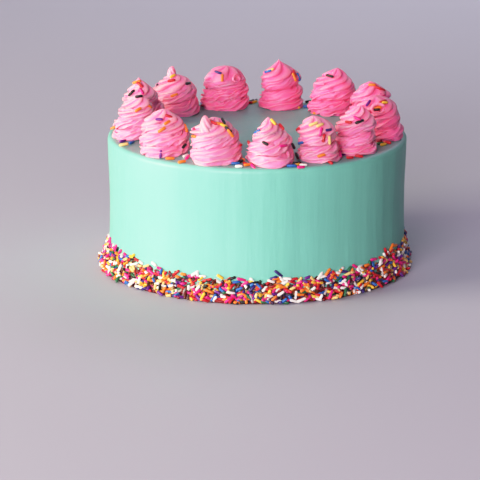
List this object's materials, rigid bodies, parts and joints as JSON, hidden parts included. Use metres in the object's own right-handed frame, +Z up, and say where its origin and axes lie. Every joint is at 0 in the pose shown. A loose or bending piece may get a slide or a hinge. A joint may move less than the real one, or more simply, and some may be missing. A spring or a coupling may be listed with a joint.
{
  "type": "birthday cake",
  "caption": "Round single-tier cake in smooth mint buttercream, with a ring of piped pink swirls on top, a band of rainbow sprinkles round its foot and a few scattered on top.",
  "frame": {"origin": "centre of the flat underside that the cake stands on", "axes": "+Z up, along the cake's own axis; -Y is the front that the picture shows"},
  "size_m": [0.2208, 0.2242, 0.1272],
  "materials": {
    "mint_icing": "satin",
    "pink_icing": "satin"
  },
  "bodies": {
    "root": {"cake": "mint_icing", "swirl_01": "pink_icing", "swirl_02": "pink_icing", "swirl_03": "pink_icing", "swirl_04": "pink_icing", "swirl_05": "pink_icing", "swirl_06": "pink_icing", "swirl_07": "pink_icing", "swirl_08": "pink_icing", "swirl_09": "pink_icing", "swirl_10": "pink_icing", "swirl_11": "pink_icing", "swirl_12": "pink_icing", "swirl_13": "pink_icing"}
  },
  "joints": []
}
